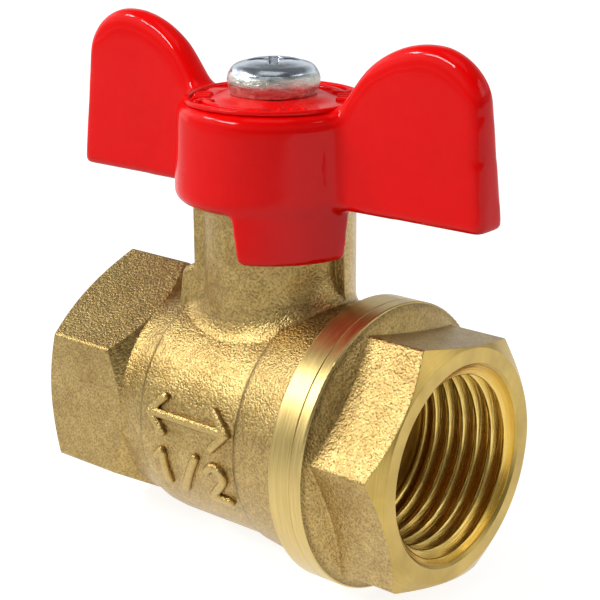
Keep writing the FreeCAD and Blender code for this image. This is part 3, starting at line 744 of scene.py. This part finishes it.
place_piece("inlet_thread", port_thread("inlet_thread", INLET_WALL_X, 1), cut_thread,
            "root")
place_piece("outlet_thread", port_thread("outlet_thread", OUTLET_WALL_X, -1), cut_thread,
            "root")
place_piece("size_mark", size_mark(), mark_brass(), "root")
place_piece("turn_mark", turn_mark(), red, "handle_group")
handle = place_piece("painted_handle", painted_handle(), red, "handle_group")
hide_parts("handle")


# ------------------------------------------------------------------ floor, light and camera
FLOOR_REACH = 3.0
FLOOR_GAP = 0.02 * MM           # under the rim
FLOOR_GREY = (0.36, 0.36, 0.36, 1)
FLOOR_GLOW = 0.84
FRONT = (-0.42, -0.91, 0)       # the way towards the front of the floor
FRONT_RUN = 0.14                # the reflected floor dims over this length
FRONT_FLOOR = 0.30              # and is this bright past it
ROOM_LIGHT = 0.45
CEILING = 0.15
NEAR_RIGHT = (0.82, 0.57)       # its way: x less y
NEAR_SIDE = 0.35
HORIZON = 0.6                   # how much the band just over the floor is dimmed


def lay_floor():
    """Wide pale floor under the rim. It shows its own white to the camera and, fading towards
    the front, to reflections, and keeps the valve's shadow."""
    reach, z = FLOOR_REACH, CAD_BOX[0].z - FLOOR_GAP
    mesh = bpy.data.meshes.new("floor")
    mesh.from_pydata([(-reach, -reach, z), (reach, -reach, z), (reach, reach, z),
                      (-reach, reach, z)], [], [(0, 1, 2, 3)])
    floor = in_scene("floor", mesh)
    f = Finish("pale_floor")
    f.inputs["Base Color"].default_value = FLOOR_GREY
    f.inputs["Roughness"].default_value = 0.9
    f.inputs["Specular IOR Level"].default_value = 0.0
    rays = f.add("ShaderNodeLightPath").outputs
    ahead = f.add("ShaderNodeVectorMath", operation="DOT_PRODUCT")
    ahead.inputs[1].default_value = FRONT
    f.wire(f.place, ahead.inputs[0])
    fade = f.between(ahead.outputs["Value"], 0.0, FRONT_RUN, 1.0, FRONT_FLOOR, eased=True)
    mirrored = f.math("MAXIMUM", rays["Is Glossy Ray"], rays["Is Transmission Ray"])
    seen = f.math("MAXIMUM", rays["Is Camera Ray"], f.product(mirrored, fade))
    glow = f.add("ShaderNodeEmission")
    f.wire(f.math("MULTIPLY", seen, FLOOR_GLOW), glow.inputs["Strength"])
    both = f.add("ShaderNodeAddShader")
    f.wire(f.tree.nodes["Principled BSDF"].outputs[0], both.inputs[0])
    f.wire(glow.outputs[0], both.inputs[1])
    f.wire(both.outputs[0], f.tree.nodes["Material Output"].inputs["Surface"])
    mesh.materials.append(f.material)


def light_room():
    """Pale room: white to the camera, and in reflections white at the sides and back, dimmer
    overhead, at the near right and just over the floor. The light that it gives is plain and
    weaker."""
    world = bpy.data.worlds.new("room")
    bpy.context.scene.world = world
    world.use_nodes = True
    n = Nodes(world.node_tree)
    split = n.add("ShaderNodeSeparateXYZ")
    n.wire(n.add("ShaderNodeTexCoord").outputs["Generated"], split.inputs[0])
    x, y, z = split.outputs
    overhead = n.between(z, 0.15, 0.75, 1.0, CEILING, eased=True)
    near_side = n.math("SUBTRACT", n.math("MULTIPLY", x, NEAR_RIGHT[0]),
                       n.math("MULTIPLY", y, NEAR_RIGHT[1]))
    near = n.between(near_side, 0.0, 0.85, 1.0, NEAR_SIDE, eased=True)
    over_floor = n.product(n.between(z, -0.04, 0.04, 0.0, HORIZON, eased=True),
                           n.between(z, 0.12, 0.28, 1.0, 0.0, eased=True))
    look = n.product(overhead, near, n.math("SUBTRACT", 1.0, over_floor))
    rays = n.add("ShaderNodeLightPath").outputs
    look = n.math("MAXIMUM", look, rays["Is Camera Ray"])
    seen = n.math("MAXIMUM", rays["Is Glossy Ray"], rays["Is Transmission Ray"])
    seen = n.math("MAXIMUM", seen, rays["Is Camera Ray"])
    background = n.tree.nodes["Background"].inputs
    n.wire(n.blend(seen, ROOM_LIGHT, look, "FLOAT"), background["Strength"])
    background["Color"].default_value = (1, 1, 1, 1)


def direction(azimuth, elevation):
    """Unit vector from the valve: azimuth from the front, to the right, and elevation upwards."""
    return Vector((math.sin(azimuth) * math.cos(elevation),
                   -math.cos(azimuth) * math.cos(elevation), math.sin(elevation)))


# Rectangular lamps: azimuth and elevation in degrees, distance, width and height in metres, watts
LAMP_AIM = Vector((0.023, 0, 0.01))
LAMPS = {
    "key": (-58, 38, 0.7, 0.12, 0.06, 0.70),
    "strip": (-26, 37, 0.7, 0.34, 0.08, 2.0),
    "wide_fill": (-64, 36, 0.7, 0.60, 0.30, 0.3),
    "left_wall": (-92, 8, 0.7, 0.30, 0.55, 0.35),
    "right_rear": (114, 30, 0.7, 0.40, 0.35, 0.55),
    "top": (20, 78, 0.8, 0.5, 0.5, 0.4),
}


def hang_lamps():
    """Each lamp in its direction from the valve, facing it."""
    for name, (azimuth, elevation, distance, width, height, watts) in LAMPS.items():
        out = direction(math.radians(azimuth), math.radians(elevation))
        data = bpy.data.lights.new(name, "AREA")
        data.shape = "RECTANGLE"
        data.size, data.size_y = width, height
        data.energy = watts
        lamp = in_scene(name, data)
        lamp.location = LAMP_AIM + out * distance
        lamp.rotation_mode = "QUATERNION"
        lamp.rotation_quaternion = out.to_track_quat("Z", "Y")


CAMERA_PLACE = (0.13404, -0.12574, 0.06656)
CAMERA_ANGLES = (40.55, 17.82, -0.26)   # azimuth, elevation and roll in degrees
CAMERA_LENS, CAMERA_SENSOR = 97.54, 36.0


def set_camera():
    """Camera on the outlet's side, a little above the pipe."""
    azimuth, elevation, roll = (math.radians(v) for v in CAMERA_ANGLES)
    back = direction(azimuth, elevation)
    right = Vector((math.cos(azimuth), math.sin(azimuth), 0))
    up = back.cross(right)
    tilted = right * math.cos(roll) + up * math.sin(roll)
    over = back.cross(tilted)
    data = bpy.data.cameras.new("camera")
    data.sensor_width = CAMERA_SENSOR
    data.lens = CAMERA_LENS
    data.clip_start, data.clip_end = 0.01, 20.0
    camera = in_scene("camera", data)
    turn = Matrix((tilted, over, back)).transposed().to_4x4()
    camera.matrix_world = Matrix.Translation(CAMERA_PLACE) @ turn
    bpy.context.scene.camera = camera


lay_floor()
light_room()
hang_lamps()
set_camera()

bpy.context.scene.view_settings.view_transform = "Standard"
